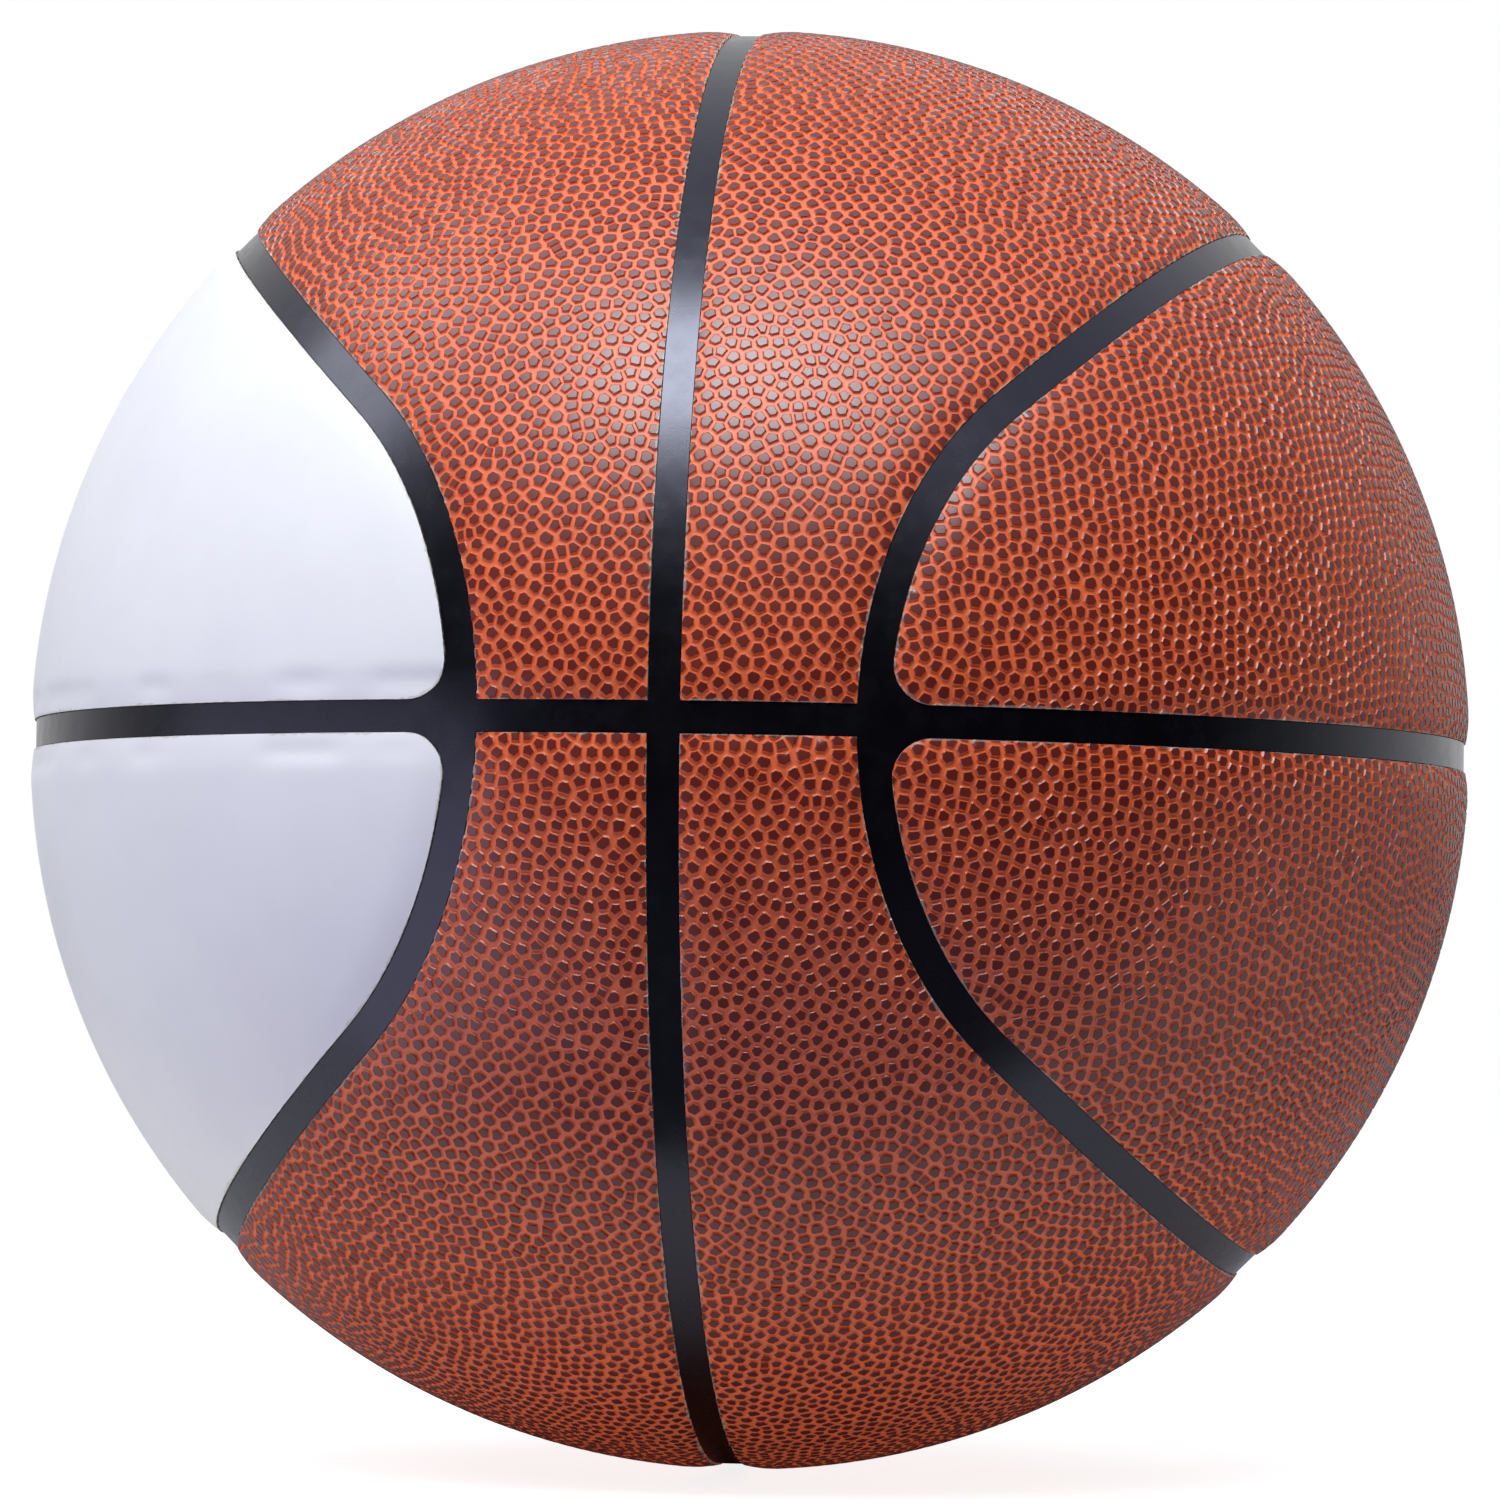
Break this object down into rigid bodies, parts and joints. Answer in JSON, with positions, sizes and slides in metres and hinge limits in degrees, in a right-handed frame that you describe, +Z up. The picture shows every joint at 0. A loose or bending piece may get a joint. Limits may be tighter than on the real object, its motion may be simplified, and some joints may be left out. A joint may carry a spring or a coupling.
{
  "type": "basketball",
  "caption": "Round inflated game ball with pebbled and smooth white panels between black channels, with a self-sealing air valve.",
  "frame": {"origin": "centre of the ball", "axes": "+Z up through the upright channel, -Y towards the viewer through the meeting of the two straight channels, +X to the viewer's right through the middle of the right oval"},
  "size_m": [0.238, 0.2374, 0.238],
  "materials": {
    "pebbled_cover": "pebbled, satin",
    "white_cover": "smooth, satin",
    "pad_foam": "open foam",
    "channel_rubber": "matt",
    "winding_thread": "wound thread",
    "bladder_rubber": "matt",
    "valve_rubber": "satin",
    "plug_rubber": "satin"
  },
  "bodies": {
    "ball": {"upper_left_band_cover": "pebbled_cover", "upper_left_side_cover": "white_cover", "upper_left_band_pad": "pad_foam", "upper_left_side_pad": "pad_foam", "upper_right_band_cover": "pebbled_cover", "upper_right_side_cover": "pebbled_cover", "upper_right_band_pad": "pad_foam", "upper_right_side_pad": "pad_foam", "lower_left_band_cover": "pebbled_cover", "lower_left_side_cover": "white_cover", "lower_left_band_pad": "pad_foam", "lower_left_side_pad": "pad_foam", "lower_right_band_cover": "pebbled_cover", "lower_right_side_cover": "pebbled_cover", "lower_right_band_pad": "pad_foam", "lower_right_side_pad": "pad_foam", "carcass": "channel_rubber", "thread_winding": "winding_thread", "bladder": "bladder_rubber", "valve_seat": "valve_rubber"},
    "plug": {"valve_plug": "plug_rubber"}
  },
  "joints": [
    {"name": "plug_pull", "type": "slide", "parent": "ball", "child": "plug", "axis": [0.1421, 0.6363, 0.7583], "range_m": [0, 0.016]}
  ]
}
